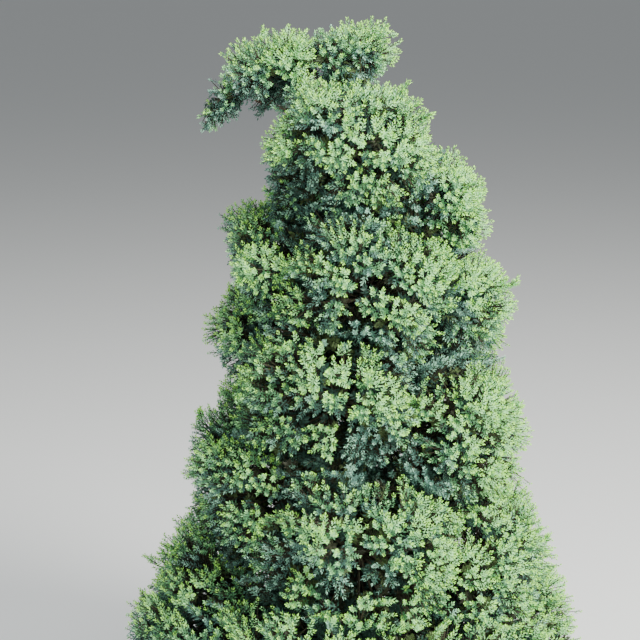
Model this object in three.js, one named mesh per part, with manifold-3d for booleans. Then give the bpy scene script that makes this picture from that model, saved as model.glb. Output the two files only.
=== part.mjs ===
// Spiral topiary: a clipped dwarf juniper whose foliage winds down a leaning trunk in rounded lobes.
// Millimetres, +Z up. The trunk stands on its flat cut at the origin, and -Y is the front.
import * as THREE from "three";
import { mergeVertices } from "three/addons/utils/BufferGeometryUtils.js";
import Module from "manifold-3d";

const wasm = await Module();
wasm.setup();

// The whole plant
const height = 934;
const topReach = 152; // from the axis to the furthest tips, near the top
const footReach = 332; // the same at the ground
const coneCurve = 1.5; // over 1 the cone swells towards its foot
const clearance = 0.3; // between a limb and what it carries
const seed = 7000; // each lobe adds its own number

// The spiral ridge that the lobes sit on
const ridgeTop = 852;
const ridgePitch = 165; // drop in one turn
const ridgeTilt = 22; // the ridge lies this much lower at the front right, and higher behind
const ridgeTiltSide = THREE.MathUtils.degToRad(335);
const firstTurnSag = { drop: 84, turn: 0.8, spread: 0.36 }; // extra drop round the end of the first turn
const firstTurn = 0.25;
const lastTurn = 5.3;
const groundGap = 3; // under the lowest lobes

// A lobe's half sizes: a fixed part, and a share of the reach at its height
const lobeOut = { base: 14, share: 0.42 };
const lobeWide = { base: 70, share: 0.26 };
const lobeTall = { base: -50, share: 0.81, most: 130 };
// Lobes at the left and right are thinner, with deep notches between, less so from this height down
const lobeThin = { share: 0.22, height: 330 };
const lobeSquareness = 2.6; // 2 is an ellipsoid, more fills its corners
const lobeStep = 1.2; // spacing along the ridge, in half widths
const lobeDroop = 0.15; // how far the outer end hangs, as a slope

// The crown: a top lobe over the trunk's tip, one at its left, a thin wisp that droops from that,
// a flank that fills the left side between the spiral's first two turns, and one behind the trunk's tip
const crownTop = { centre: [-12, 2, 884], out: 66, wide: 68, tall: 54, droop: 0 };
const crownSide = { centre: [-92, -10, 870], out: 78, wide: 68, tall: 56, droop: 0.4 };
const crownWisp = { centre: [-146, -12, 843], out: 66, wide: 42, tall: 30, droop: 0.8 };
const crownFlank = { centre: [-56, -30, 728], out: 66, wide: 64, tall: 56, droop: 0.1 };
const crownBack = { centre: [-6, 58, 794], out: 92, wide: 66, tall: 68, droop: 0 };

// Trunk and boughs
const trunkTip = 838;
const trunkRadius = { foot: 16, tip: 3.2 };
const trunkTaper = 0.85;
const ringCrowding = 1.3; // over 1 the rings are closer at the flare
const flare = { rise: 55, spread: 11, ridges: 5, ridgeShare: 0.32 };
const trunkLean = { run: -10, curve: 1.4 }; // sideways run of the tip
const trunkWander = { side: 28, depth: 5, sideWaves: 3.24, depthWaves: 5.2 };
const trunkSides = 10;
const trunkSteps = 14;
const boughFoot = { base: 3.2, share: 0.011 };
const boughTaper = 0.55;
const boughRise = [0.3, 0.42]; // climb for each millimetre outwards, by turns
const boughSag = 0.06;
const boughDepth = { most: 0.8, step: 0.05 }; // where a bough ends, as shares of its lobe's depth
const lowestBough = 30;
const highestBough = trunkTip - 22;
const boughSides = 5;
const boughSteps = 2;
const boughProbes = 8; // steps along a bough when its distance is measured

// Foliage
const coreShare = 0.86; // of the way from a lobe's middle to the edge of its space
const coreLump = 0.05;
const coreGap = 2; // between a core and the edge of a neighbour's space
const tuft = { share: 0.93, odds: 0.38 }; // corners of the core that stand out as tufts
const rivalMargin = 0.06; // kept to a neighbour's space, as a share of the lobe's half size
const rivalRange = 1.5; // lobes closer than this many of their largest half sizes are neighbours
const limbMargin = 2.5;
const leastCore = 8;
const reachStep = 2; // between the points tried on the way out through a lobe
const sprays = {
  directions: 33, // tried on each lobe
  openDepth: 0.84, // sprays stand only where the lobe reaches the air
  sizes: [1, 0.9, 0.8], // tried in turn until one fits
  inset: 2, // from the edge of the lobe's space, for a full size spray
  shortInset: 14, // further in, for each part that it is shorter
  least: 44,
  share: 0.56, // length, of the way from the lobe's middle to the edge
  width: 0.56, // of its length
  thickness: 0.13,
  lean: 0.5, // along the surface
  turn: { first: 0.1, spread: 0.8 }, // which way it leans, in half turns from level
  thickest: 0.5,
  rim: [
    [0, 0],
    [0.36, 1],
    [0.5, 0.46],
    [0.68, 0.92],
    [0.8, 0.36],
    [1, 0],
  ], // along, and out to one side as a share of the half width
};
const twig = { radius: 2.4, first: 0.45, spread: 0.5, end: 0.25 }; // from the stem to a spray's root
const twigChecks = [0.35, 0.6, 0.85]; // places along a twig that must lie in the lobe's own space
const stem = { sides: 5, inset: 1, taper: 0.6, end: 0.2 };

const foliageFinish = new THREE.MeshStandardMaterial({ color: 0x6d8f78, roughness: 0.75, metalness: 0 });
const barkFinish = new THREE.MeshStandardMaterial({ color: 0x6a5546, roughness: 0.9, metalness: 0 });

const up = new THREE.Vector3(0, 0, 1);

// A seeded row of numbers between 0 and 1.
function randomRow(start) {
  let state = start >>> 0;
  return () => {
    state = (state + 0x6d2b79f5) >>> 0;
    let mixed = Math.imul(state ^ (state >>> 15), state | 1);
    mixed ^= mixed + Math.imul(mixed ^ (mixed >>> 7), mixed | 61);
    return ((mixed ^ (mixed >>> 14)) >>> 0) / 4294967296;
  };
}

// A closed geometry as a solid, its shared corners merged.
function solidOf(geometry) {
  const bare = geometry.index ? geometry.toNonIndexed() : geometry.clone();
  bare.deleteAttribute("normal");
  bare.deleteAttribute("uv");
  const merged = mergeVertices(bare, 1e-4);
  const vertProperties = new Float32Array(merged.attributes.position.array);
  const triVerts = new Uint32Array(merged.index.array);
  return new wasm.Manifold(new wasm.Mesh({ numProp: 3, vertProperties, triVerts }));
}

function geometryOf(solid) {
  const { vertProperties, triVerts } = solid.getMesh();
  const geometry = new THREE.BufferGeometry();
  geometry.setAttribute("position", new THREE.BufferAttribute(new Float32Array(vertProperties), 3));
  geometry.setIndex(new THREE.BufferAttribute(new Uint32Array(triVerts), 1));
  geometry.computeVertexNormals();
  return geometry;
}

// The outer skin of a solid's largest piece: loose scraps go and sealed hollows are filled.
function largestPiece(solid) {
  return solid.decompose().reduce((best, piece) => (piece.volume() > best.volume() ? piece : best));
}

// Moves every corner of a geometry to the place that the rule gives it.
function reshape(geometry, rule) {
  const corners = geometry.attributes.position;
  const corner = new THREE.Vector3();
  for (let i = 0; i < corners.count; i++) {
    corner.fromBufferAttribute(corners, i);
    rule(corner);
    corners.setXYZ(i, corner.x, corner.y, corner.z);
  }
  return geometry;
}

// Trunk: horizontal rings along a leaning, slightly winding axis.
function trunkAxis(z) {
  const share = z / trunkTip;
  const lean = trunkLean.run * share ** trunkLean.curve;
  const side = trunkWander.side * share * Math.sin(share * trunkWander.sideWaves);
  const depth = trunkWander.depth * share * Math.sin(share * trunkWander.depthWaves);
  return new THREE.Vector3(lean + side, depth, z);
}

function trunkRadiusAt(z, bearing = 0) {
  const share = z / trunkTip;
  const plain = trunkRadius.foot + (trunkRadius.tip - trunkRadius.foot) * share ** trunkTaper;
  const swell = flare.spread * Math.exp(-z / flare.rise);
  return plain + swell * (1 + flare.ridgeShare * Math.cos(flare.ridges * bearing));
}

function trunkSolid(extra) {
  const geometry = new THREE.CylinderGeometry(1, 1, 1, trunkSides, trunkSteps);
  reshape(geometry, (corner) => {
    const share = (corner.y + 0.5) ** ringCrowding;
    const z = share * (trunkTip + extra);
    const bearing = Math.atan2(-corner.z, corner.x);
    const radius = Math.hypot(corner.x, corner.z) * (trunkRadiusAt(z, bearing) + extra);
    const centre = trunkAxis(z);
    corner.set(centre.x + radius * Math.cos(bearing), centre.y + radius * Math.sin(bearing), z);
  });
  return solidOf(geometry);
}

// A tapering limb of few sides along a curve, closed at both ends.
function limbSolid(curve, footRadius, tipRadius, sides, steps) {
  const geometry = new THREE.CylinderGeometry(tipRadius, footRadius, 1, sides, steps);
  const frames = curve.computeFrenetFrames(steps, false);
  reshape(geometry, (corner) => {
    const step = Math.round((corner.y + 0.5) * steps);
    const { x, z } = corner;
    corner.copy(curve.getPointAt(step / steps));
    corner.addScaledVector(frames.normals[step], x);
    corner.addScaledVector(frames.binormals[step], -z);
  });
  return solidOf(geometry);
}

// Lobes
function reachAt(z) {
  return topReach + (footReach - topReach) * (1 - z / height) ** coneCurve;
}

function sized(size, reach) {
  return Math.min(size.base + size.share * reach, size.most ?? Infinity);
}

// The lobe's own axes: out from the trunk, along the ridge, and across both.
function lobe(name, centre, bearing, halfSizes, droop, slope) {
  const out = new THREE.Vector3(Math.cos(bearing), Math.sin(bearing), -droop).normalize();
  const along = new THREE.Vector3(-Math.sin(bearing), Math.cos(bearing), -slope);
  along.addScaledVector(out, -along.dot(out)).normalize();
  const across = new THREE.Vector3().crossVectors(out, along);
  return { name, centre, bearing, out, along, across, halfSizes };
}

function ridgeHeight(turn, bearing) {
  const sag = firstTurnSag.drop * Math.exp(-(((turn - firstTurnSag.turn) / firstTurnSag.spread) ** 2));
  return ridgeTop - ridgePitch * turn - ridgeTilt * Math.cos(bearing - ridgeTiltSide) - sag;
}

function spiralLobes() {
  const lobes = [];
  let turn = firstTurn;
  while (turn < lastTurn) {
    const bearing = Math.PI * (1 + 2 * turn);
    const ridge = Math.max(ridgeHeight(turn, bearing), 0);
    const reach = reachAt(ridge);
    const thin = 1 - lobeThin.share * Math.cos(bearing) ** 2 * Math.min(ridge / lobeThin.height, 1);
    const halfSizes = [sized(lobeOut, reach), sized(lobeWide, reach), sized(lobeTall, reach) * thin];
    const z = Math.max(ridge, halfSizes[2] + groundGap);
    const distance = reach - halfSizes[0];
    const axis = trunkAxis(Math.min(z, trunkTip));
    const x = axis.x + distance * Math.cos(bearing);
    const y = axis.y + distance * Math.sin(bearing);
    const name = "spiral_foliage_" + String(lobes.length + 1).padStart(2, "0");
    const slope = ridgePitch / (2 * Math.PI * distance);
    lobes.push(lobe(name, new THREE.Vector3(x, y, z), bearing, halfSizes, lobeDroop, slope));
    turn += (lobeStep * halfSizes[1]) / (2 * Math.PI * distance);
  }
  return lobes;
}

function crownLobe(name, { centre, out, wide, tall, droop }) {
  return lobe(name, new THREE.Vector3(...centre), Math.PI, [out, wide, tall], droop, 0);
}

function crownLobes() {
  return [
    crownLobe("crown_top_foliage", crownTop),
    crownLobe("crown_side_foliage", crownSide),
    crownLobe("crown_wisp_foliage", crownWisp),
    crownLobe("crown_flank_foliage", crownFlank),
    crownLobe("crown_back_foliage", crownBack),
  ];
}

// How far out in a lobe's rounded box a point lies: 0 at its middle, 1 on its surface.
function depthIn(lobe, point) {
  const arm = point.clone().sub(lobe.centre);
  const [a, b, c] = lobe.halfSizes;
  const shares = [arm.dot(lobe.out) / a, arm.dot(lobe.along) / b, arm.dot(lobe.across) / c];
  return shares.reduce((sum, share) => sum + Math.abs(share) ** lobeSquareness, 0) ** (1 / lobeSquareness);
}

const lobes = [...crownLobes(), ...spiralLobes()];

// Where a bough ends: inside its lobe, nearer that lobe's middle than any other's.
function boughEntry(lobe, start) {
  const startDepth = depthIn(lobe, start);
  const point = new THREE.Vector3();
  let depth = boughDepth.most + boughDepth.step;
  do {
    depth -= boughDepth.step;
    point.lerpVectors(start, lobe.centre, 1 - depth / startDepth);
  } while (lobes.some((other) => other !== lobe && depthIn(other, point) < depth + rivalMargin));
  return point;
}

// Boughs run from the trunk's middle up and out to where they enter their lobe.
function boughOf(lobe, index) {
  const { centre } = lobe;
  const axis = trunkAxis(Math.min(centre.z, trunkTip));
  const run = Math.hypot(centre.x - axis.x, centre.y - axis.y);
  const startHeight = centre.z - boughRise[index % 2] * run;
  const start = trunkAxis(THREE.MathUtils.clamp(startHeight, lowestBough, highestBough));
  const entry = boughEntry(lobe, start);
  const bend = start.clone().lerp(entry, 0.5);
  bend.z -= boughSag * run;
  const curve = new THREE.QuadraticBezierCurve3(start, bend, entry);
  const footRadius = sized(boughFoot, reachAt(lobe.centre.z));
  const name = "bough_" + String(index).padStart(2, "0");
  return { name, curve, footRadius, tipRadius: footRadius * boughTaper };
}

lobes.slice(1).forEach((lobe, i) => {
  lobe.bough = boughOf(lobe, i + 1);
});
lobes.forEach((lobe) => {
  lobe.rivals = lobes.filter((other) => {
    const range = rivalRange * (Math.max(...lobe.halfSizes) + Math.max(...other.halfSizes));
    return other !== lobe && lobe.centre.distanceTo(other.centre) < range;
  });
});
const boughs = lobes.slice(1).map((lobe) => lobe.bough);

function clearOfBough(bough, point, gap) {
  for (let i = 0; i <= boughProbes; i++) {
    const radius = THREE.MathUtils.lerp(bough.footRadius, bough.tipRadius, i / boughProbes);
    if (bough.curve.getPoint(i / boughProbes).distanceTo(point) < radius + gap) return false;
  }
  return true;
}

// A point is a lobe's own when it lies inside the lobe, nearer its middle than any neighbour's,
// above the ground and clear of every limb.
function owns(lobe, point) {
  const depth = depthIn(lobe, point);
  if (depth > 1 || point.z < groundGap) return false;
  if (lobe.rivals.some((rival) => depthIn(rival, point) < depth + rivalMargin)) return false;
  if (point.z < trunkTip + limbMargin) {
    const axis = trunkAxis(Math.min(point.z, trunkTip));
    const sideways = Math.hypot(point.x - axis.x, point.y - axis.y);
    if (sideways < trunkRadiusAt(point.z) + limbMargin) return false;
  }
  return boughs.every((bough) => clearOfBough(bough, point, limbMargin));
}

// How far a lobe's own space reaches from a point in a direction.
function ownReach(lobe, from, direction) {
  const point = from.clone();
  let distance = 0;
  while (owns(lobe, point.copy(from).addScaledVector(direction, distance + reachStep))) {
    distance += reachStep;
  }
  return distance;
}

// The dense inside of a lobe: a ball drawn out to a share of the lobe's own space, with tufts on it.
function coreSolid(lobe, random) {
  const geometry = new THREE.IcosahedronGeometry(1, 2);
  const bumps = new Map();
  reshape(geometry, (corner) => {
    const key = corner.toArray().map((value) => value.toFixed(3)).join();
    const share = random() < tuft.odds ? tuft.share : coreShare;
    if (!bumps.has(key)) bumps.set(key, share * (1 + coreLump * (2 * random() - 1)));
    const direction = outwards(lobe, corner);
    const edge = 1 / depthIn(lobe, lobe.centre.clone().add(direction));
    const reach = Math.min(edge * bumps.get(key), ownReach(lobe, lobe.centre, direction) - coreGap);
    corner.copy(lobe.centre).addScaledVector(direction, Math.max(reach, leastCore));
  });
  return solidOf(geometry);
}

// A spray of needles as a toothed blade: two teeth on each side and a point, thickest at its middle.
function sprayGeometry(root, direction, side, length) {
  const half = (length * sprays.width) / 2;
  const otherSide = sprays.rim.slice(1, -1).reverse();
  const outline = [...sprays.rim, ...otherSide.map(([along, out]) => [along, -out])];
  const normal = new THREE.Vector3().crossVectors(direction, side);
  const place = (along, out, proud) =>
    root
      .clone()
      .addScaledVector(direction, along * length)
      .addScaledVector(side, out * half)
      .addScaledVector(normal, (proud * length * sprays.thickness) / 2);
  const corners = outline.map(([along, out]) => place(along, out, 0));
  const faces = [];
  corners.forEach((corner, i) => {
    const next = corners[(i + 1) % corners.length];
    faces.push(place(sprays.thickest, 0, 1), next, corner);
    faces.push(place(sprays.thickest, 0, -1), corner, next);
  });
  return { geometry: new THREE.BufferGeometry().setFromPoints(faces), corners };
}

// Directions spread evenly over a ball, turned by the seeded row.
function evenDirections(count, random) {
  const turn = 2 * Math.PI * random();
  return Array.from({ length: count }, (_, i) => {
    const rise = 1 - (2 * i + 1) / count;
    const bearing = turn + i * Math.PI * (3 - Math.sqrt(5));
    const flat = Math.sqrt(1 - rise * rise);
    return new THREE.Vector3(flat * Math.cos(bearing), flat * Math.sin(bearing), rise);
  });
}

// A direction in the lobe's own sizes, turned into the plant's.
function outwards(lobe, even) {
  const direction = new THREE.Vector3();
  direction.addScaledVector(lobe.out, even.x * lobe.halfSizes[0]);
  direction.addScaledVector(lobe.along, even.y * lobe.halfSizes[1]);
  direction.addScaledVector(lobe.across, even.z * lobe.halfSizes[2]);
  return direction.normalize();
}

// One spray on its twig, which leaves the lobe's stem inside the core; nothing if it would not fit.
function sprayOnTwig(lobe, stemLine, even, random) {
  const direction = outwards(lobe, even);
  const reach = ownReach(lobe, lobe.centre, direction);
  const edge = lobe.centre.clone().addScaledVector(direction, reach);
  if (depthIn(lobe, edge) < sprays.openDepth) return [];
  const lean = new THREE.Vector3().crossVectors(direction, up).normalize();
  lean.applyAxisAngle(direction, Math.PI * (sprays.turn.first + sprays.turn.spread * random()));
  const axis = direction.clone().addScaledVector(lean, sprays.lean).normalize();
  const side = new THREE.Vector3().crossVectors(axis, direction).normalize();
  for (const size of sprays.sizes) {
    const length = size * Math.max(sprays.least, reach * sprays.share);
    const inset = sprays.inset + (1 - size) * sprays.shortInset;
    const root = edge.clone().addScaledVector(direction, -inset).addScaledVector(axis, -length);
    const { geometry, corners } = sprayGeometry(root, axis, side, length);
    if (!corners.slice(1).every((corner) => owns(lobe, corner))) continue;
    const from = stemLine.getPoint(twig.first + twig.spread * random());
    const line = new THREE.LineCurve3(from, root.clone().addScaledVector(axis, length * twig.end));
    if (!twigChecks.every((share) => owns(lobe, line.getPoint(share)))) continue;
    return [solidOf(geometry), limbSolid(line, twig.radius, twig.radius / 2, 3, 1)];
  }
  return [];
}

// The stem of a lobe: from its bough's tip, or the trunk's, into the middle of the core.
function stemLineOf(lobe) {
  if (!lobe.bough) return new THREE.LineCurve3(trunkAxis(trunkTip - stem.inset), lobe.centre.clone());
  const { curve } = lobe.bough;
  const start = curve.getPoint(1).addScaledVector(curve.getTangent(1), -stem.inset);
  const end = lobe.centre.clone().addScaledVector(lobe.out, stem.end * lobe.halfSizes[0]);
  return new THREE.LineCurve3(start, end);
}

const trunk = trunkSolid(0);
const trunkSpace = trunkSolid(clearance);

function boughSolid(bough, extra) {
  const curve = bough.curve.clone();
  curve.v2.addScaledVector(curve.getTangent(1), extra);
  return limbSolid(curve, bough.footRadius + extra, bough.tipRadius + extra, boughSides, boughSteps);
}

const limbSpaces = [trunkSpace, ...boughs.map((bough) => boughSolid(bough, clearance))];

// A mass of foliage: its core, stem, twigs and sprays fused, and cut clear of the limbs.
function foliageSolid(lobe, index) {
  const random = randomRow(seed + index);
  const stemLine = stemLineOf(lobe);
  const radius = lobe.bough ? lobe.bough.tipRadius : trunkRadius.tip;
  const pieces = [coreSolid(lobe, random), limbSolid(stemLine, radius, radius * stem.taper, stem.sides, 1)];
  evenDirections(sprays.directions, random).forEach((even) => {
    pieces.push(...sprayOnTwig(lobe, stemLine, even, random));
  });
  const fused = wasm.Manifold.union(pieces);
  return largestPiece(limbSpaces.reduce((left, space) => left.subtract(space), fused));
}

const plant = new THREE.Group();

function addNode(name, solid, finish) {
  const mesh = new THREE.Mesh(geometryOf(solid), finish);
  mesh.name = name;
  plant.add(mesh);
}

addNode("trunk", trunk, barkFinish);
boughs.forEach((bough) => {
  addNode(bough.name, largestPiece(boughSolid(bough, 0).subtract(trunkSpace)), barkFinish);
});
lobes.forEach((lobe, index) => addNode(lobe.name, foliageSolid(lobe, index), foliageFinish));

export default plant;
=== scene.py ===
import math

import bpy
import numpy as np
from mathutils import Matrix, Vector, kdtree, noise


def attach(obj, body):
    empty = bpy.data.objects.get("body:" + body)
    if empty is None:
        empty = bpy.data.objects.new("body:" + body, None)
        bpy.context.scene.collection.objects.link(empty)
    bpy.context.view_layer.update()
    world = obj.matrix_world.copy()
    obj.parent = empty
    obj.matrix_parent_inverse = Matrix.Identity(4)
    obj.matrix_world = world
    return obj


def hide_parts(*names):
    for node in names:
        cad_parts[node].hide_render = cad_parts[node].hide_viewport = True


# Spiral topiary: a clipped dwarf juniper. Metres, +Z up, -Y is the front.
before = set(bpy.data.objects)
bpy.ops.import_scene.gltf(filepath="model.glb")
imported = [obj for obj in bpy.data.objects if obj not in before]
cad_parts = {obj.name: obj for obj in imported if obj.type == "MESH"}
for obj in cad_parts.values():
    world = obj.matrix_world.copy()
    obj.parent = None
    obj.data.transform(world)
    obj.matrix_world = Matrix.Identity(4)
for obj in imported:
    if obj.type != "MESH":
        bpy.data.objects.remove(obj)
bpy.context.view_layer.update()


def deselectAll():
    if bpy.context.object and bpy.context.object.mode != "OBJECT":
        bpy.ops.object.mode_set(mode="OBJECT")
    bpy.ops.object.select_all(action="DESELECT")


def unit(vectors):
    return vectors / np.maximum(np.linalg.norm(vectors, axis=-1, keepdims=True), 1e-12)


def smoothStep(value):
    value = np.clip(value, 0, 1)
    return value * value * (3 - 2 * value)


# A long lens, looking slightly down on the crown
view = {
    "aim": (-0.044, 0.0, 0.560),
    "distance": 2.222,
    "tilt": math.radians(12),
    "lens": 100,
    "sensor": 36,
    "clipEnd": 200,
}


def addCamera():
    data = bpy.data.cameras.new("photoCamera")
    data.lens = view["lens"]
    data.sensor_width = view["sensor"]
    data.clip_end = view["clipEnd"]
    camera = bpy.data.objects.new("photoCamera", data)
    back = Vector((0, -math.cos(view["tilt"]), math.sin(view["tilt"])))
    camera.location = Vector(view["aim"]) + back * view["distance"]
    camera.rotation_euler = (math.pi / 2 - view["tilt"], 0, 0)
    bpy.context.scene.collection.objects.link(camera)
    bpy.context.scene.camera = camera


lamps = {
    "key": {"place": (2.05, -1.75, 2.1), "size": 1.6, "power": 224, "colour": (1.0, 0.99, 0.94)},
    "sky": {"place": (0.2, -0.2, 3.2), "size": 2.0, "power": 100, "colour": (0.95, 0.98, 1.0)},
    "side": {"place": (-0.6, -2.8, 0.9), "size": 1.6, "power": 14, "colour": (0.90, 0.96, 1.0)},
    "aim": (0.0, 0.0, 0.55),
    "air": (0.86, 0.91, 0.95),
    "airStrength": 0.34,
}


def addLamps():
    for name in ("key", "sky", "side"):
        lamp = lamps[name]
        data = bpy.data.lights.new(name + "Lamp", "AREA")
        data.shape = "DISK"
        data.size = lamp["size"]
        data.energy = lamp["power"]
        data.color = lamp["colour"]
        holder = bpy.data.objects.new(name + "Lamp", data)
        holder.location = lamp["place"]
        aim = Vector(lamps["aim"]) - Vector(lamp["place"])
        holder.rotation_euler = aim.to_track_quat("-Z", "Y").to_euler()
        bpy.context.scene.collection.objects.link(holder)
    world = bpy.data.worlds.new("studioAir")
    world.use_nodes = True
    air = world.node_tree.nodes["Background"]
    air.inputs["Color"].default_value = (*lamps["air"], 1)
    air.inputs["Strength"].default_value = lamps["airStrength"]
    bpy.context.scene.world = world


studioFloor = {"size": 80, "colour": (0.78, 0.78, 0.76), "roughness": 0.9}


def addFloor():
    deselectAll()
    bpy.ops.mesh.primitive_plane_add(size=studioFloor["size"], location=(0, 0, 0))
    floor = bpy.context.object
    floor.name = "studio_floor"
    paint = bpy.data.materials.new("paleFloor")
    paint.use_nodes = True
    shader = paint.node_tree.nodes["Principled BSDF"]
    shader.inputs["Base Color"].default_value = (*studioFloor["colour"], 1)
    shader.inputs["Roughness"].default_value = studioFloor["roughness"]
    floor.data.materials.append(paint)


# Stringy bark: broad strips with finer fibres over them
bark = {
    "dark": (0.055, 0.036, 0.026),
    "mid": (0.155, 0.098, 0.066),
    "pale": (0.330, 0.240, 0.175),
    "colourPlaces": (0.33, 0.50, 0.68),  # where on the noise each colour is full
    "stripScale": (260, 260, 38),  # strips are narrow round the limb and long up it
    "stripDetail": 5,
    "stripRoughness": 0.62,
    "fibreScale": (900, 900, 90),
    "fibreDetail": 2,
    "fibreShare": 0.35,
    "roughness": (0.72, 0.95),
    "bump": 0.55,
    "bumpDepth": 0.0015,
}
twigBark = dict(bark, dark=(0.020, 0.018, 0.010), mid=(0.050, 0.044, 0.022), pale=(0.095, 0.085, 0.045))


def barkFinish(name, look):
    material = bpy.data.materials.new(name)
    material.use_nodes = True
    tree = material.node_tree
    nodes = tree.nodes
    link = tree.links.new
    shader = nodes["Principled BSDF"]
    place = nodes.new("ShaderNodeTexCoord")
    strips = nodes.new("ShaderNodeTexNoise")
    strips.inputs["Scale"].default_value = 1
    strips.inputs["Detail"].default_value = look["stripDetail"]
    strips.inputs["Roughness"].default_value = look["stripRoughness"]
    fibres = nodes.new("ShaderNodeTexNoise")
    fibres.inputs["Scale"].default_value = 1
    fibres.inputs["Detail"].default_value = look["fibreDetail"]
    for texture, scale in ((strips, look["stripScale"]), (fibres, look["fibreScale"])):
        stretch = nodes.new("ShaderNodeMapping")
        stretch.inputs["Scale"].default_value = scale
        link(place.outputs["Object"], stretch.inputs["Vector"])
        link(stretch.outputs["Vector"], texture.inputs["Vector"])
    both = nodes.new("ShaderNodeMix")
    both.inputs["Factor"].default_value = look["fibreShare"]
    link(strips.outputs["Fac"], both.inputs["A"])
    link(fibres.outputs["Fac"], both.inputs["B"])
    colours = nodes.new("ShaderNodeValToRGB")
    ramp = colours.color_ramp
    darkPlace, midPlace, palePlace = look["colourPlaces"]
    ramp.elements[0].position = darkPlace
    ramp.elements[0].color = (*look["dark"], 1)
    ramp.elements[1].position = palePlace
    ramp.elements[1].color = (*look["pale"], 1)
    middle = ramp.elements.new(midPlace)
    middle.color = (*look["mid"], 1)
    link(both.outputs["Result"], colours.inputs["Fac"])
    link(colours.outputs["Color"], shader.inputs["Base Color"])
    rough = nodes.new("ShaderNodeMapRange")
    rough.inputs["To Min"].default_value = look["roughness"][1]
    rough.inputs["To Max"].default_value = look["roughness"][0]
    link(both.outputs["Result"], rough.inputs["Value"])
    link(rough.outputs["Result"], shader.inputs["Roughness"])
    bump = nodes.new("ShaderNodeBump")
    bump.inputs["Strength"].default_value = look["bump"]
    bump.inputs["Distance"].default_value = look["bumpDepth"]
    link(both.outputs["Result"], bump.inputs["Height"])
    link(bump.outputs["Normal"], shader.inputs["Normal"])
    return material


# Needles, dealt out by spray: each kind is one plain colour with a mottled waxy gloss
needleColours = {
    # the brightest yellow-green is that of new tips, given only to the most lit tips as a painted
    # highlight; blue and deep go to shaded places as painted shade
    "freshLit": (0.455, 0.900, 0.160),
    "pale": (0.355, 0.760, 0.300),
    "green": (0.130, 0.360, 0.158),
    "silver": (0.310, 0.590, 0.430),
    "blue": (0.095, 0.230, 0.180),
    "deep": (0.028, 0.080, 0.056),
    "olive": (0.070, 0.110, 0.032),
    "dead": (0.030, 0.034, 0.014),
}
needleWax = {
    "roughness": (0.50, 0.78),
    "scale": 420,
    "sheen": 0.12,
    "dullSheen": 0.02,
    "dullKinds": ("deep", "olive", "dead"),
}


def needleFinish(kind):
    material = bpy.data.materials.new(kind + "Needles")
    material.use_nodes = True
    tree = material.node_tree
    nodes = tree.nodes
    link = tree.links.new
    sheen = needleWax["dullSheen" if kind in needleWax["dullKinds"] else "sheen"]
    shader = nodes["Principled BSDF"]
    shader.inputs["Base Color"].default_value = (*needleColours[kind], 1)
    shader.inputs["Sheen Weight"].default_value = sheen
    place = nodes.new("ShaderNodeTexCoord")
    mottle = nodes.new("ShaderNodeTexNoise")
    mottle.inputs["Scale"].default_value = needleWax["scale"]
    rough = nodes.new("ShaderNodeMapRange")
    rough.inputs["To Min"].default_value = needleWax["roughness"][0]
    rough.inputs["To Max"].default_value = needleWax["roughness"][1]
    link(place.outputs["Object"], mottle.inputs["Vector"])
    link(mottle.outputs["Fac"], rough.inputs["Value"])
    link(rough.outputs["Result"], shader.inputs["Roughness"])
    return material


# These sizes are those of the solids, so that limbs and foliage grow where the solids are
plant = {
    "height": 0.934,
    "topReach": 0.152,  # from the axis to the furthest tips, near the top
    "footReach": 0.332,  # the same at the ground
    "coneCurve": 1.5,
    "ridgeTop": 0.852,  # the spiral's ridge, along which the lobes lie
    "ridgePitch": 0.165,  # its drop in one turn
    "ridgeTilt": 0.022,
    "ridgeTiltSide": math.radians(335),
    "sagDrop": 0.084,  # the ridge hangs lower round the end of its first turn
    "sagTurn": 0.8,
    "sagSpread": 0.36,
    "firstTurn": 0.25,
    "lastTurn": 5.3,
    "groundGap": 0.003,
}

lobes = {
    "out": (0.014, 0.42, 9.0),  # half sizes: a fixed part, a share of the reach, and the most
    "wide": (0.070, 0.26, 9.0),
    "tall": (-0.050, 0.81, 0.130),
    "thinShare": 0.22,  # lobes at the left and right are thinner, less so below the height
    "thinHeight": 0.330,
    "squareness": 2.6,
    "step": 1.2,  # from one lobe to the next, in half widths
    "droop": 0.15,
    "rivalMargin": 0.06,  # how much deeper in its own lobe than in any other a bough ends
    "crown": {
        "top": {"centre": (-0.012, 0.002, 0.884), "halfSizes": (0.066, 0.068, 0.054), "droop": 0},
        "side": {"centre": (-0.092, -0.010, 0.870), "halfSizes": (0.078, 0.068, 0.056), "droop": 0.40},
        "wisp": {"centre": (-0.146, -0.012, 0.843), "halfSizes": (0.066, 0.042, 0.030), "droop": 0.80},
        "flank": {"centre": (-0.056, -0.030, 0.728), "halfSizes": (0.066, 0.064, 0.056), "droop": 0.10},
        "back": {"centre": (-0.006, 0.058, 0.794), "halfSizes": (0.092, 0.066, 0.068), "droop": 0},
    },
}

trunk = {
    "tip": 0.838,
    "footRadius": 0.016,
    "tipRadius": 0.0032,
    "taper": 0.85,
    "flareRise": 0.055,
    "flareSpread": 0.011,
    "flareRidges": 5,
    "flareRidgeShare": 0.32,
    "leanRun": -0.010,
    "leanCurve": 1.4,
    "wanderSide": 0.028,
    "wanderDepth": 0.005,
    "sideWaves": 3.24,
    "depthWaves": 5.2,
    "rings": 34,
    "ringCurve": 1.3,  # rings stand closer near the foot
    "sides": 20,
    "smoothing": 2,
    "stripHeight": 0.0011,
    "stripScales": (330, 26),  # round the limb and along it
}

bough = {
    "footBase": 0.0032,
    "footShare": 0.011,
    "taper": 0.55,
    "rise": (0.3, 0.42),  # for each metre outwards, by turns
    "sag": 0.06,
    "mostDepth": 0.8,  # where in its lobe it ends, or further in by steps
    "depthStep": 0.05,
    "lowest": 0.030,  # where it may leave the trunk
    "belowTip": 0.022,
    "rings": 7,
    "sides": 8,
    "smoothing": 2,
    "stripHeight": 0.0005,
    "stripScales": (420, 60),
}

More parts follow.
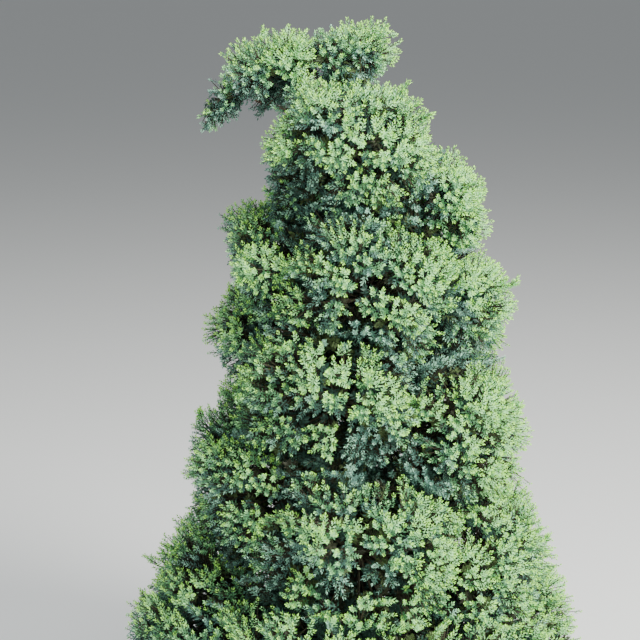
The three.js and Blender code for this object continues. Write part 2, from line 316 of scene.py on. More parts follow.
clearance = {"margin": 0.0025, "places": 9}  # kept clear round every limb, looked at along each bough


def trunkAxis(z):
    z = np.asarray(z, float)
    share = np.clip(z / trunk["tip"], 0, None)
    lean = trunk["leanRun"] * share ** trunk["leanCurve"]
    side = trunk["wanderSide"] * share * np.sin(share * trunk["sideWaves"])
    depth = trunk["wanderDepth"] * share * np.sin(share * trunk["depthWaves"])
    return np.stack([lean + side, depth, z], -1)


def trunkRadiusAt(z, bearing=0.0):
    share = np.clip(np.asarray(z, float) / trunk["tip"], 0, 1)
    plain = trunk["footRadius"] + (trunk["tipRadius"] - trunk["footRadius"]) * share ** trunk["taper"]
    swell = trunk["flareSpread"] * np.exp(-np.asarray(z, float) / trunk["flareRise"])
    return plain + swell * (1 + trunk["flareRidgeShare"] * np.cos(trunk["flareRidges"] * bearing))


def reachAt(z):
    narrowing = (1 - z / plant["height"]) ** plant["coneCurve"]
    return plant["topReach"] + (plant["footReach"] - plant["topReach"]) * narrowing


def sized(size, reach):
    return min(size[0] + size[1] * reach, size[2])


def lobeAt(name, centre, bearing, halfSizes, droop, slope):
    out = unit(np.array([math.cos(bearing), math.sin(bearing), -droop]))
    along = np.array([-math.sin(bearing), math.cos(bearing), -slope])
    along = unit(along - out * along.dot(out))
    across = np.cross(out, along)
    axes = np.array([out, along, across])
    return {"name": name, "centre": np.array(centre), "axes": axes, "halfSizes": np.array(halfSizes)}


def ridgeHeight(turn, bearing):
    sag = plant["sagDrop"] * math.exp(-(((turn - plant["sagTurn"]) / plant["sagSpread"]) ** 2))
    tilt = plant["ridgeTilt"] * math.cos(bearing - plant["ridgeTiltSide"])
    return plant["ridgeTop"] - plant["ridgePitch"] * turn - tilt - sag


def allLobes():
    made = [
        lobeAt(f"crown_{name}_foliage", lobe["centre"], math.pi, lobe["halfSizes"], lobe["droop"], 0)
        for name, lobe in lobes["crown"].items()
    ]
    turn = plant["firstTurn"]
    while turn < plant["lastTurn"]:
        bearing = math.pi * (1 + 2 * turn)
        ridge = max(ridgeHeight(turn, bearing), 0)
        reach = reachAt(ridge)
        halfSizes = [sized(lobes[size], reach) for size in ("out", "wide", "tall")]
        sideways = math.cos(bearing) ** 2
        halfSizes[2] *= 1 - lobes["thinShare"] * sideways * min(ridge / lobes["thinHeight"], 1)
        z = max(ridge, halfSizes[2] + plant["groundGap"])
        distance = reach - halfSizes[0]
        axis = trunkAxis(min(z, trunk["tip"]))
        centre = [axis[0] + distance * math.cos(bearing), axis[1] + distance * math.sin(bearing), z]
        slope = plant["ridgePitch"] / (2 * math.pi * distance)
        name = f"spiral_foliage_{len(made) - len(lobes['crown']) + 1:02d}"
        made.append(lobeAt(name, centre, bearing, halfSizes, lobes["droop"], slope))
        turn += lobes["step"] * halfSizes[1] / (2 * math.pi * distance)
    return made


def depthIn(lobe, points):
    # 0 in the lobe's middle, 1 on its surface
    arms = (points - lobe["centre"]) @ lobe["axes"].T / lobe["halfSizes"]
    power = lobes["squareness"]
    return (np.abs(arms) ** power).sum(-1) ** (1 / power)


def depths(points):
    return np.stack([depthIn(lobe, points) for lobe in crown])


def boughEntry(lobe, start):
    # inside its lobe, nearer that lobe's middle than any other's
    startDepth = depthIn(lobe, start)
    depth = bough["mostDepth"]
    while True:
        point = start + (lobe["centre"] - start) * (1 - depth / startDepth)
        others = [depthIn(other, point) for other in crown if other is not lobe]
        if min(others) > depth + lobes["rivalMargin"]:
            return point
        depth -= bough["depthStep"]


def boughOf(lobe, index):
    centre = lobe["centre"]
    axis = trunkAxis(min(centre[2], trunk["tip"]))
    run = math.hypot(centre[0] - axis[0], centre[1] - axis[1])
    startHeight = centre[2] - bough["rise"][index % 2] * run
    start = trunkAxis(min(max(startHeight, bough["lowest"]), trunk["tip"] - bough["belowTip"]))
    entry = boughEntry(lobe, start)
    bend = (start + entry) / 2 - np.array([0, 0, bough["sag"] * run])
    footRadius = bough["footBase"] + bough["footShare"] * reachAt(centre[2])
    return {
        "name": f"bough_{index:02d}",
        "points": (start, bend, entry),
        "footRadius": footRadius,
        "tipRadius": footRadius * bough["taper"],
    }


def boughPlace(limb, share):
    share = np.asarray(share, float)[..., None]
    start, bend, end = limb["points"]
    return start * (1 - share) ** 2 + bend * 2 * share * (1 - share) + end * share**2


def boughRadius(limb, share):
    return limb["footRadius"] + (limb["tipRadius"] - limb["footRadius"]) * share


def clearOfLimbs(points):
    margin = clearance["margin"]
    clear = np.ones(points.shape[:-1], bool)
    axis = trunkAxis(np.minimum(points[..., 2], trunk["tip"]))
    sideways = np.hypot(points[..., 0] - axis[..., 0], points[..., 1] - axis[..., 1])
    low = points[..., 2] < trunk["tip"] + margin
    clear &= ~(low & (sideways < trunkRadiusAt(points[..., 2]) + margin))
    for limb in limbs:
        for share in np.linspace(0, 1, clearance["places"]):
            away = np.linalg.norm(points - boughPlace(limb, share), axis=-1)
            clear &= away > boughRadius(limb, share) + margin
    return clear


crown = allLobes()
limbs = [boughOf(lobe, index) for index, lobe in enumerate(crown) if index]


# Trunk and boughs, drawn up ring by ring from a circle
def addLimb(name, centres, radii, look):
    deselectAll()
    direction = Vector(centres[-1] - centres[0])
    turned = direction.to_track_quat("Z", "Y").to_euler()
    bpy.ops.mesh.primitive_circle_add(
        vertices=look["sides"],
        radius=radii[0],
        fill_type="NGON",
        location=centres[0],
        rotation=turned,
    )
    limb = bpy.context.object
    limb.name = name
    bpy.ops.object.mode_set(mode="EDIT")
    bpy.ops.mesh.select_all(action="SELECT")
    for last, centre, lastRadius, radius in zip(centres, centres[1:], radii, radii[1:]):
        bpy.ops.mesh.extrude_region_move(TRANSFORM_OT_translate={"value": Vector(centre - last)})
        change = radius / lastRadius
        bpy.ops.transform.resize(value=(change, change, change), center_override=Vector(centre))
    bpy.ops.mesh.select_all(action="SELECT")
    bpy.ops.mesh.normals_make_consistent(inside=False)
    bpy.ops.object.mode_set(mode="OBJECT")
    bpy.ops.object.transform_apply(location=True, rotation=True, scale=True)
    finer = limb.modifiers.new("finer", "SUBSURF")
    finer.levels = look["smoothing"]
    finer.render_levels = look["smoothing"]
    bpy.ops.object.modifier_apply(modifier=finer.name)
    bpy.ops.object.shade_smooth()
    return limb


stripNoise = {"lift": 0.35, "octaves": 4, "flatBelow": 1e-4}


def raiseBark(limb, look, shapeRule=None):
    # stringy strips: noise that changes slowly along the limb and quickly round it
    mesh = limb.data
    roundScale, alongScale = look["stripScales"]
    normals = [vertex.normal.copy() for vertex in mesh.vertices]
    for vertex, normal in zip(mesh.vertices, normals):
        place = vertex.co.copy()
        spot = Vector((place.x * roundScale, place.y * roundScale, place.z * alongScale))
        strip = noise.fractal(spot, 1.0, 2.0, stripNoise["octaves"])
        if shapeRule is not None:
            place = shapeRule(place)
        raised = place.z >= stripNoise["flatBelow"]
        vertex.co = place + normal * look["stripHeight"] * (stripNoise["lift"] + strip) * raised
    mesh.update()


plainBearing = math.pi / 2 / trunk["flareRidges"]  # neither on a root ridge nor between two


def flareRule(place):
    # root ridges: the foot spreads between them
    axis = trunkAxis(place.z)
    bearing = math.atan2(place.y - axis[1], place.x - axis[0])
    ridged = float(trunkRadiusAt(place.z, bearing))
    change = ridged / float(trunkRadiusAt(place.z, plainBearing))
    x = axis[0] + (place.x - axis[0]) * change
    y = axis[1] + (place.y - axis[1]) * change
    return Vector((x, y, place.z))


def addTrunk(finish):
    heights = np.linspace(0, 1, trunk["rings"]) ** trunk["ringCurve"] * trunk["tip"]
    limb = addLimb("trunk_bark", trunkAxis(heights), trunkRadiusAt(heights, plainBearing), trunk)
    raiseBark(limb, trunk, flareRule)
    for vertex in limb.data.vertices:
        vertex.co.z = max(vertex.co.z, 0)
    limb.data.materials.append(finish)
    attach(limb, "root")
    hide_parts("trunk")


def addBoughs(finish):
    shares = np.linspace(0, 1, bough["rings"])
    for limb in limbs:
        centres, radii = boughPlace(limb, shares), boughRadius(limb, shares)
        piece = addLimb(limb["name"] + "_bark", centres, radii, bough)
        raiseBark(piece, bough)
        piece.data.materials.append(finish)
        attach(piece, "root")
        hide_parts(limb["name"])


# Foliage: each lobe carries mounds, each mound tufts, each tuft shoots, and each shoot rings of needles
growth = {
    "seed": 11,
    "tries": 5200,  # directions tried from each lobe's middle
    "steps": (0.1, 1.3, 37),  # and places along each, in shares of the lobe's size
    "nearby": 1.6,  # lobes further apart than this share of their sizes don't touch
    "blend": 0.055,  # how much the grooves between lobes are rounded out
    "probe": 0.002,  # step to each side that finds which way the surface faces
    "outward": 0.3,  # share of the way from the lobe's middle in that direction
    "lumpScale": 14,
    "lumpOctaves": 2,
    "lumpHeight": 0.016,
    "lumpSink": 0.04,
    "moundSpacing": 0.074,
    "moundRadius": 0.050,
    "moundPull": 0.014,  # how far the valleys between mounds lie in
    "moundUnder": 0.012,  # and how much further under each mound's lower side
    "moundTilt": 0.45,
    "tuftSpacing": 0.034,
    "tuftRadius": 0.021,
    "tuftPull": 0.0028,
    "tuftTilt": 0.34,
    "tuftRagged": 0.0028,
    "farthest": {"mound": 1.25, "under": 1.2, "tuft": 1.3},  # in radii, where the pull stops growing
    "pullLight": 0.45,  # closed places aren't pulled in
    "hubDepth": 0.044,  # from the surface down to the twig that a tuft's shoots leave
    "mostDepth": 0.6,  # of the way to the lobe's middle
    "mostPull": 0.3,  # of that depth
    "upward": 0.22,  # how much shoots turn up
}

sky = {
    "rays": 40,
    "turn": 0.4,
    "grazing": 0.15,  # flatter rays don't count
    "distances": (0.018, 0.036, 0.06, 0.095, 0.15, 0.23),
    "blocked": 0.97,  # this deep in a lobe, a ray is stopped
    "level": 1.2,  # what a level ray counts, one from above counts one more
}


def evenDirections(count, turn):
    index = np.arange(count)
    rise = 1 - (2 * index + 1) / count
    bearing = turn + index * math.pi * (3 - math.sqrt(5))
    flat = np.sqrt(1 - rise * rise)
    return np.stack([flat * np.cos(bearing), flat * np.sin(bearing), rise], -1)


def blended(depthList):
    # one depth for neighbouring lobes
    blend = growth["blend"]
    return -blend * np.log(sum(np.exp(-depth / blend) for depth in depthList))


def touching(lobe, other):
    apart = np.linalg.norm(other["centre"] - lobe["centre"])
    return apart < growth["nearby"] * (other["halfSizes"].max() + lobe["halfSizes"].max())


def lobeSurface(lobe, turn):
    # the edge of a lobe's own space in every direction, with the way out of it
    even = evenDirections(growth["tries"], turn)
    directions = unit((even * lobe["halfSizes"]) @ lobe["axes"])
    edge = 1 / depthIn(lobe, lobe["centre"] + directions)
    steps = np.linspace(*growth["steps"])
    points = lobe["centre"] + directions[:, None] * (edge[:, None] * steps)[..., None]
    near = [other for other in crown if other is not lobe and touching(lobe, other)]
    mine = np.broadcast_to(steps, points.shape[:2])
    others = [depthIn(other, points) for other in near]
    joint = blended([mine, *others])
    owned = (np.min(others, axis=0) > mine) & (joint < 1) & (points[..., 2] > plant["groundGap"])
    reach = np.where(owned.all(1), len(steps), owned.argmin(1)) - 1
    kept = np.flatnonzero((reach > 2) & (reach < len(steps) - 1))
    reach = reach[kept]
    inside, outside = joint[kept, reach], joint[kept, reach + 1]
    last = np.where(outside > 1, (1 - inside) / np.maximum(outside - inside, 1e-6), 0)
    found = points[kept, reach] + (points[kept, reach + 1] - points[kept, reach]) * last[:, None]
    slope = []
    for way in np.eye(3) * growth["probe"]:
        after = blended([depthIn(other, found + way) for other in (lobe, *near)])
        before = blended([depthIn(other, found - way) for other in (lobe, *near)])
        slope.append(after - before)
    return found, unit(unit(np.stack(slope, -1)) + growth["outward"] * directions[kept])


def treeOf(points):
    tree = kdtree.KDTree(len(points))
    for index, point in enumerate(points):
        tree.insert(point, index)
    tree.balance()
    return tree


def spread(points, spacing, rng):
    # picks places in a random order, none nearer than the spacing to one picked before
    tree = treeOf(points)
    gone = np.zeros(len(points), bool)
    chosen = []
    for index in rng.permutation(len(points)):
        if gone[index]:
            continue
        chosen.append(index)
        for _, other, _ in tree.find_range(points[index], spacing):
            gone[other] = True
    return np.array(chosen)


def nearestOf(points, spots):
    tree = treeOf(spots)
    return np.array([tree.find(point)[1] for point in points])


def openness(points, normals):
    # share of the directions in front of a place that leave the crown
    distances = np.array(sky["distances"])
    total = np.zeros(len(points))
    clear = np.zeros(len(points))
    for ray in evenDirections(sky["rays"], sky["turn"]):
        facing = normals @ ray
        seen = facing > sky["grazing"]
        samples = points[seen, None] + ray * distances[:, None]
        blocked = (depths(samples).min(0) < sky["blocked"]).any(1) | (samples[..., 2].min(1) < 0)
        weight = facing[seen] * (sky["level"] + ray[2])
        total[seen] += weight
        clear[seen] += weight * ~blocked
    return clear / np.maximum(total, 1e-9)


def frameOf(axes, roll):
    # three unit axes for each shoot, the last along it, turned about it by roll
    helper = np.where(np.abs(axes[:, 2:]) < 0.9, [[0, 0, 1.0]], [[1.0, 0, 0]])
    side = unit(np.cross(axes, helper))
    other = np.cross(axes, side)
    cos, sin = np.cos(roll)[:, None], np.sin(roll)[:, None]
    return np.stack([side * cos + other * sin, other * cos - side * sin, axes], 1)


def growSurface(rng):
    points, normals, owners = [], [], []
    for index, lobe in enumerate(crown):
        found, facing = lobeSurface(lobe, 2 * math.pi * rng.random())
        points.append(found)
        normals.append(facing)
        owners.append(np.full(len(found), index))
    points, normals, owners = np.concatenate(points), np.concatenate(normals), np.concatenate(owners)
    centres = np.array([lobe["centre"] for lobe in crown])
    room = growth["mostDepth"] * np.linalg.norm(points - centres[owners], axis=1)
    # a tuft belongs to one lobe, and a mound may reach over two
    tuftSpots = spread(points, growth["tuftSpacing"], rng)
    moundSpots = tuftSpots[spread(points[tuftSpots], growth["moundSpacing"], rng)]
    tuft = np.zeros(len(points), int)
    for index in range(len(crown)):
        mine = owners == index
        spots = np.flatnonzero(owners[tuftSpots] == index)
        tuft[mine] = spots[nearestOf(points[mine], points[tuftSpots][spots])]
    mound = nearestOf(points[tuftSpots], points[moundSpots])[tuft]
    moundArm = points - points[moundSpots][mound]
    tuftArm = points - points[tuftSpots][tuft]
    moundShare = np.linalg.norm(moundArm, axis=1) / growth["moundRadius"]
    tuftShare = np.linalg.norm(tuftArm, axis=1) / growth["tuftRadius"]
    light = openness(points[tuftSpots], normals[tuftSpots])
    ragged = rng.normal(0, growth["tuftRagged"], len(tuftSpots))
    crest = moundArm[:, 2] / growth["moundRadius"]
    # the surface lies in between mounds and tufts, where it is open
    farthest = growth["farthest"]
    pull = growth["moundPull"] * np.clip(moundShare, 0, farthest["mound"]) ** 2
    pull = pull + growth["moundUnder"] * np.clip(-crest, 0, farthest["under"]) ** 2
    pull = pull + growth["tuftPull"] * np.clip(tuftShare, 0, farthest["tuft"]) ** 2
    pull = pull + np.abs(ragged)[tuft]
    free = smoothStep(light[tuft] / growth["pullLight"])
    pull = np.minimum(pull * free, growth["mostPull"] * room)
    octaves = growth["lumpOctaves"]
    lumps = [noise.fractal(Vector(point) * growth["lumpScale"], 1, 2, octaves) for point in points]
    lumps = np.array(lumps)
    pull = pull + growth["lumpHeight"] * (growth["lumpSink"] - lumps) * free
    axes = unit(normals + growth["moundTilt"] * moundArm / growth["moundRadius"])
    axes = unit(axes + growth["tuftTilt"] * tuftArm / growth["tuftRadius"] + [0, 0, growth["upward"]])
    hubs = (points - normals * np.minimum(pull + growth["hubDepth"], room)[:, None])[tuftSpots]
    return {
        "point": points - normals * pull[:, None],
        "normal": normals,
        "axis": axes,
        "tuft": tuft,
        "mound": mound,
        "valley": moundShare,
        "lump": lumps,
        "crest": np.clip(crest, -1, 1),
        "light": light[tuft],
        "room": room - pull,
        "hubs": hubs,
        "hubOwner": owners[tuftSpots],
        "hubLight": light,
        "mounds": len(moundSpots),
    }


# Shoots: three layers, the inner ones closing the view through the crown
layers = {
    "outer": dict(spacing=0.0089, depth=0.0, ragged=0.0026, length=0.0170, open=0.03, shade=0.0),
    "under": dict(spacing=0.0155, depth=0.011, ragged=0.0040, length=0.0220, open=-1, shade=0.25),
    "inner": dict(spacing=0.0180, depth=0.026, ragged=0.0060, length=0.0250, open=-1, shade=0.60),
}

shootRules = {
    "stray": 0.16,
    "lengths": (0.85, 1.15),
    "fullRoom": 0.010,  # under a shoot of full size
    "smallest": 0.4,
    "hubReach": 0.085,
    "lowest": 0.006,
    "sunk": 0.25,  # share of a shoot that its twig runs up inside it
    "tipShare": 0.6,  # rings beyond this share of the shoot take the tip's colour
    "radii": (0.0009, 0.0004),
}


def addChance(shoots, rng):
    count = len(shoots["tip"])
    shoots["roll"] = rng.uniform(0, 2 * math.pi, count)
    shoots["chance"] = rng.random(count)


def openSpots(surface, least, spacing, rng):
    places = np.flatnonzero(surface["light"] > least)
    return places[spread(surface["point"][places], spacing, rng)]


def growShoots(surface, layer, rng):
    wanted = layers[layer]
    spots = openSpots(surface, wanted["open"], wanted["spacing"], rng)
    count = len(spots)
    axes = unit(surface["axis"][spots] + rng.normal(0, shootRules["stray"], (count, 3)))
    depth = wanted["depth"] + rng.normal(0, wanted["ragged"], count)
    depth = np.minimum(depth, surface["room"][spots])
    tips = surface["point"][spots] - surface["normal"][spots] * depth[:, None]
    # shoots are smaller in thin lobes
    size = surface["room"][spots] / (wanted["depth"] + shootRules["fullRoom"])
    length = wanted["length"] * rng.uniform(*shootRules["lengths"], count)
    length = length * np.clip(size, shootRules["smallest"], 1)
    hubs = surface["hubs"][surface["tuft"][spots]]
    kept = (tips[:, 2] > shootRules["lowest"]) & clearOfLimbs(tips)
    kept &= clearOfLimbs(tips - axes * length[:, None])
    kept &= np.linalg.norm(tips - hubs, axis=1) < shootRules["hubReach"]
    shoots = {"tip": tips, "axis": axes, "length": length, "spot": spots, "hub": hubs}
    addChance(shoots, rng)
    shoots = {key: value[kept] for key, value in shoots.items()}
    shoots["layer"] = layer
    return shoots


# Sprigs: loose ends that stand out of the clipped surface, each a leader with side shoots
sprigs = {
    "spacing": 0.082,
    "open": 0.30,
    "length": (0.011, 0.025),  # beyond the surface
    "stray": 0.45,
    "footDepth": 0.006,
    # each shoot: where it leaves the leader, how far it leans out and its bearing
    "shoots": ((1.0, 0, 0), (0.62, 0.62, 0.2), (0.42, 0.66, 2.4), (0.30, 0.70, 4.4), (0.12, 0.60, 1.3)),
    "shootStray": 0.10,
    "shootLength": 0.0185,
    "shootOut": 0.011,
    "rootBack": 0.35,  # how far down the leader a shoot's twig starts, and the lowest start
    "lowestRoot": -0.2,
}


def growSprigs(surface, rng):
    spots = openSpots(surface, sprigs["open"], sprigs["spacing"], rng)
    count = len(spots)
    leader = unit(surface["axis"][spots] + rng.normal(0, sprigs["stray"], (count, 3)))
    length = rng.uniform(*sprigs["length"], count)
    basis = frameOf(leader, rng.uniform(0, 2 * math.pi, count))
    feet = surface["point"][spots] - surface["normal"][spots] * sprigs["footDepth"]
    tips, axes, roots = [], [], []
    for share, lean, bearing in sprigs["shoots"]:
        out = basis[:, 0] * math.cos(bearing) + basis[:, 1] * math.sin(bearing)
        stray = rng.normal(0, sprigs["shootStray"], (count, 3))
        axis = unit(leader * math.cos(lean) + out * math.sin(lean) + stray)
        side = sprigs["shootOut"] if lean else 0
        rootShare = max(share - sprigs["rootBack"], sprigs["lowestRoot"])
        tips.append(feet + leader * (length * share)[:, None] + axis * side)
        axes.append(axis)
        roots.append(feet + leader * (length * rootShare)[:, None])
    shoots = {"tip": np.concatenate(tips), "axis": np.concatenate(axes), "hub": np.concatenate(roots)}
    shoots["length"] = sprigs["shootLength"] * rng.uniform(*shootRules["lengths"], len(shoots["tip"]))
    shoots["spot"] = np.tile(spots, len(sprigs["shoots"]))
    addChance(shoots, rng)
    kept = shoots["tip"][:, 2] > shootRules["lowest"]
    shoots = {key: value[kept] for key, value in shoots.items()}
    shoots["layer"] = "outer"
    return shoots


# Sprouts: short twigs on the trunk that close the hollow between the lobes
sprouts = {
    "tries": 16000,
    "out": (0.014, 0.20),
    "heights": (0.11, 0.79),
    "spacing": 0.0150,
    "coneShare": 0.70,  # they keep within this share of the crown's reach
    "leastDepth": 0.60,  # further in, the lobes' own growth hides them
    "drop": 0.35,  # how far below its tip a sprout leaves the trunk, for each metre outwards
    "upward": 0.6,
    "stray": 0.35,
    "length": 0.027,
    "lengths": (0.8, 1.15),
}


def growSprouts(rng):
    count = sprouts["tries"]
    bearing = rng.uniform(0, 2 * math.pi, count)
    height = rng.uniform(*sprouts["heights"], count)
    out = rng.uniform(*sprouts["out"], count)
    ways = np.stack([np.cos(bearing), np.sin(bearing), np.zeros(count)], -1)
    tips = trunkAxis(height) + ways * out[:, None]
    hubs = trunkAxis(height - sprouts["drop"] * out)
    axes = unit(ways + [0, 0, sprouts["upward"]] + rng.normal(0, sprouts["stray"], (count, 3)))
    length = sprouts["length"] * rng.uniform(*sprouts["lengths"], count)
    kept = (depths(tips).min(0) > sprouts["leastDepth"]) & clearOfLimbs(tips)
    kept &= out < sprouts["coneShare"] * reachAt(height)
    kept &= clearOfLimbs(tips - axes * length[:, None])
    rows = np.flatnonzero(kept)
    rows = rows[spread(tips[rows], sprouts["spacing"], rng)]
    shoots = {"tip": tips[rows], "axis": axes[rows], "length": length[rows], "hub": hubs[rows]}
    addChance(shoots, rng)
    return shoots


# Needles: rings of them up each shoot, leaning out less towards its tip (degrees at its foot and tip)
needleRings = {
    "outer": dict(rings=6, around=3, needle=0.0060, width=0.0024, lean=(64, 34), templates=6),
    "under": dict(rings=6, around=3, needle=0.0068, width=0.0024, lean=(62, 30), templates=4),
    "inner": dict(rings=6, around=3, needle=0.0092, width=0.0036, lean=(74, 42), templates=4),
}

needle = {
    "shootLength": 0.0205,  # the shoot that these sizes are for, others are scaled
    "lastRing": 0.0045,  # behind the shoot's tip
    "ringRun": 0.0160,  # from there back to the first ring
    "rootOut": 0.0004,
    "shorter": 0.32,  # at the tip
    "leanCurve": 1.5,
    "turnStray": 0.2,
    "leanStray": 0.12,
    "lengths": (0.85, 1.12),
    "foldPlace": 0.42,
    "foldDepth": 0.3,
}


def shootTemplate(shape, rng):
    # needles of a shoot along +Z: folded blades of four corners each
    corners, shares = [], []
    low, high = shape["lean"]
    half = shape["width"] / 2
    for ring in range(shape["rings"]):
        share = ring / (shape["rings"] - 1)
        lean = math.radians(low + (high - low) * share ** needle["leanCurve"])
        length = shape["needle"] * (1.0 - needle["shorter"] * share**2)
        height = -needle["lastRing"] - (1 - share) * needle["ringRun"]
        for place in range(shape["around"]):
            bearing = 2 * math.pi * (place + 0.5 * (ring % 2)) / shape["around"]
            bearing = bearing + rng.normal(0, needle["turnStray"])
            tilt = lean + rng.normal(0, needle["leanStray"])
            out = np.array([math.cos(bearing), math.sin(bearing), 0])
            across = np.array([-math.sin(bearing), math.cos(bearing), 0])
            along = out * math.sin(tilt) + np.array([0, 0, math.cos(tilt)])
            reach = length * rng.uniform(*needle["lengths"])
            root = np.array([0, 0, height]) + out * needle["rootOut"]
            middle = root + along * reach * needle["foldPlace"]
            fold = np.cross(across, along) * needle["foldDepth"] * half
            left, right = middle + across * half + fold, middle - across * half + fold
            corners.append([root, left, root + along * reach, right])
            shares.append(share)
    return np.array(corners), np.array(shares)


# Colours, painted light and shade: a place's tone rises with the sky it sees, and with where on its
# lobe, mound and lump it lies
# It also rises as the place faces the key lamp's way, and deeper layers are painted darker by their
# shade
tones = {
    "base": 0.00,
    "light": 0.86,
    # sunny: painted sunlight, shoots facing sunWay, the key lamp's upper right, are dealt paler kinds
    "sunny": 0.42,
    "sunWay": (0.68, -0.26, 0.69),
    # valley: painted shade in the valleys between mounds
    "valley": 0.24,
    "valleyStart": 0.4,
    "lump": 0.30,
    # crest: painted light on each mound's upper side, painted shade on its lower side
    "crest": 0.24,
    "tuftSpread": 0.08,
    "moundSpread": 0.08,
    "shootSpread": 0.09,
    "bodies": (("pale", 0.88), ("green", 0.52), ("blue", 0.08)),  # above these tones, and deep below
    "tips": (("freshLit", 0.68), ("pale", 0.42), ("silver", 0.15)),  # and blue below
    "silverShare": 0.20,
    "silverBelow": 0.60,
    "underOlive": 0.12,
    "underTips": 0.45,
    "innerDull": (0.30, 0.50),  # share of dead shoots, and that with the olive ones
    "sproutDull": (0.20, 0.40),
    "sproutBlue": 0.40,
}


def kindOf(value, kinds, rest):
    return np.select([value > least for _, least in kinds], [kind for kind, _ in kinds], rest)


def dullKind(chance, shares):
    return np.where(chance < shares[0], "dead", np.where(chance < shares[1], "olive", "deep"))


def dealColours(surface, shoots, tuftTone, moundTone, rng):
    # painted light: bright tips on what faces the sky; painted shade: blue and deep green in the
    # valleys and below
    chance = shoots["chance"]
    if "spot" not in shoots:
        body = dullKind(chance, tones["sproutDull"])
        return body, np.where(chance > 1 - tones["sproutBlue"], "blue", body)
    spot = shoots["spot"]
    facing = (0.5 * shoots["axis"] + 0.5 * surface["normal"][spot]) @ np.array(tones["sunWay"])
    value = (
        tones["base"]
        + tones["light"] * surface["light"][spot]
        + tones["sunny"] * facing
        - tones["valley"] * np.clip(surface["valley"][spot] - tones["valleyStart"], 0, 1)
        + tones["lump"] * surface["lump"][spot]
        + tones["crest"] * surface["crest"][spot]
        + tuftTone[surface["tuft"][spot]]
        + moundTone[surface["mound"][spot]]
        + rng.normal(0, tones["shootSpread"], len(spot))
        - layers[shoots["layer"]]["shade"]
    )
    body = kindOf(value, tones["bodies"], "deep")
    body = np.where((chance < tones["silverShare"]) & (value < tones["silverBelow"]), "silver", body)
    tip = kindOf(value, tones["tips"], "blue")
    if shoots["layer"] == "inner":
        body = dullKind(chance, tones["innerDull"])
        tip = body
    elif shoots["layer"] == "under":
        body = np.where(chance > 1 - tones["underOlive"], "olive", body)
        tip = np.where(value > tones["underTips"], tip, body)
    return body, tip


def addMesh(name, points, faces, finish, smooth=False):
    mesh = bpy.data.meshes.new(name)
    mesh.vertices.add(len(points))
    mesh.vertices.foreach_set("co", np.ascontiguousarray(points, np.float32).ravel())
    mesh.loops.add(faces.size)
    mesh.loops.foreach_set("vertex_index", np.ascontiguousarray(faces, np.int32).ravel())
    mesh.polygons.add(len(faces))
    mesh.polygons.foreach_set("loop_start", np.arange(0, faces.size, 3, dtype=np.int32))
    mesh.update(calc_edges=True)
    mesh.polygons.foreach_set("use_smooth", np.full(len(faces), smooth))
    mesh.materials.append(finish)
    piece = bpy.data.objects.new(name, mesh)
    bpy.context.scene.collection.objects.link(piece)
    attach(piece, "root")
    return piece


mostTriangles = 190000  # in a piece of needles


def addNeedles(kind, corners, finish):
    # two faces for each folded blade
    pieces = math.ceil(2 * len(corners) / mostTriangles)
    for part, chunk in enumerate(np.array_split(corners, pieces)):
        first = 4 * np.arange(len(chunk))[:, None]
        faces = np.concatenate([first + [0, 1, 2], first + [0, 2, 3]])
        name = f"{kind}_needles_{part + 1}" if pieces > 1 else f"{kind}_needles"
        piece = addMesh(name, chunk.reshape(-1, 3), faces, finish)
        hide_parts(*[lobe["name"] for lobe in crown])


def addTwigs(name, starts, ends, radii, finish):
    # three-sided tapering twigs, their ends sunk in what they join
    starts, ends = np.concatenate(starts), np.concatenate(ends)
    sides = frameOf(unit(ends - starts), np.zeros(len(starts)))
    turn = 2 * math.pi * np.arange(3) / 3
    out = np.cos(turn)[:, None] * sides[:, None, 0] + np.sin(turn)[:, None] * sides[:, None, 1]
    corners = np.concatenate([starts[:, None] + out * radii[0], ends[:, None] + out * radii[1]], 1)
    wall = [[a, (a + 1) % 3, 3 + (a + 1) % 3] for a in range(3)]
    wall += [[a, 3 + (a + 1) % 3, 3 + a] for a in range(3)]
    faces = (6 * np.arange(len(starts))[:, None, None] + np.array(wall)).reshape(-1, 3)
    piece = addMesh(name, corners.reshape(-1, 3), faces, finish, smooth=True)
    print(name, len(faces), "triangles")


def placeNeedles(parts, shoots, shape, body, tip, rng):
    basis = frameOf(shoots["axis"], shoots["roll"])
    scale = shoots["length"] / needle["shootLength"]
    which = rng.integers(0, shape["templates"], len(scale))
    for number in range(shape["templates"]):
        corners, shares = shootTemplate(shape, rng)
        rows = np.flatnonzero(which == number)
        placed = corners[None] @ basis[rows][:, None] * scale[rows][:, None, None, None]
        placed = placed + shoots["tip"][rows][:, None, None]
        upper = shares > shootRules["tipShare"]
        for group, kinds in ((upper, tip[rows]), (~upper, body[rows])):
            for kind in np.unique(kinds):
                blades = placed[kinds == kind][:, group]
                parts[str(kind)].append(blades.reshape(-1, 4, 3))


# Twigs: from each bough's tip, or the trunk's, to the hubs of its lobe's tufts
twigRules = {
    "stemEnd": 0.2,  # how far past the lobe's middle they start
    "starts": (0.45, 0.95),  # share of the stem
    "leastOpen": 0.045,  # places that see less of the sky than this stay bare
    "radii": (0.0024, 0.0012),
}


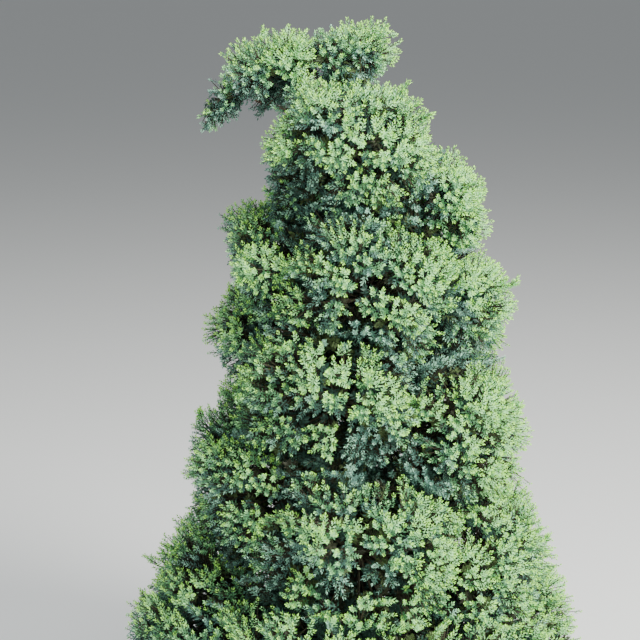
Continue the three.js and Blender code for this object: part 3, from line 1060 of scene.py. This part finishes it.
def growTwigs(surface, rng):
    starts, ends = [], []
    for index, lobe in enumerate(crown):
        mine = (surface["hubOwner"] == index) & (surface["hubLight"] > twigRules["leastOpen"])
        mine = np.flatnonzero(mine)
        low = trunkAxis(trunk["tip"]) if index == 0 else limbs[index - 1]["points"][2]
        high = lobe["centre"] + lobe["axes"][0] * twigRules["stemEnd"] * lobe["halfSizes"][0]
        starts.append(low + (high - low) * rng.uniform(*twigRules["starts"], len(mine))[:, None])
        ends.append(surface["hubs"][mine])
    return starts, ends


def addFoliage(finishes):
    rng = np.random.default_rng(growth["seed"])
    surface = growSurface(rng)
    print("surface", len(surface["point"]), "tufts", len(surface["hubs"]), "mounds", surface["mounds"])
    tuftTone = rng.normal(0, tones["tuftSpread"], len(surface["hubs"]))
    moundTone = rng.normal(0, tones["moundSpread"], surface["mounds"])
    parts = {kind: [] for kind in needleColours}
    starts, ends = [], []
    for layer in (*layers, "sprigs", "sprouts"):
        if layer == "sprigs":
            shape = needleRings["outer"]
            shoots = growSprigs(surface, rng)
        elif layer == "sprouts":
            shape = needleRings["under"]
            shoots = growSprouts(rng)
        else:
            shape = needleRings[layer]
            shoots = growShoots(surface, layer, rng)
        body, tip = dealColours(surface, shoots, tuftTone, moundTone, rng)
        placeNeedles(parts, shoots, shape, body, tip, rng)
        starts.append(shoots["hub"])
        ends.append(shoots["tip"] - shoots["axis"] * (shootRules["sunk"] * shoots["length"])[:, None])
        print(layer, "shoots", len(shoots["tip"]))
    for kind, made in parts.items():
        corners = np.concatenate(made)
        addNeedles(kind, corners, finishes[kind])
        print(kind, "needles", len(corners))
    addTwigs("shoot_twigs", starts, ends, shootRules["radii"], finishes["twig"])
    starts, ends = growTwigs(surface, rng)
    addTwigs("twigs", starts, ends, twigRules["radii"], finishes["twig"])


addCamera()
addLamps()
addFloor()
print("stage set")
finishes = {kind: needleFinish(kind) for kind in needleColours}
finishes["bark"] = barkFinish("stringyBark", bark)
finishes["twig"] = barkFinish("twigBark", twigBark)
addTrunk(finishes["bark"])
addBoughs(finishes["bark"])
print("trunk and boughs made")
addFoliage(finishes)
print("foliage grown")
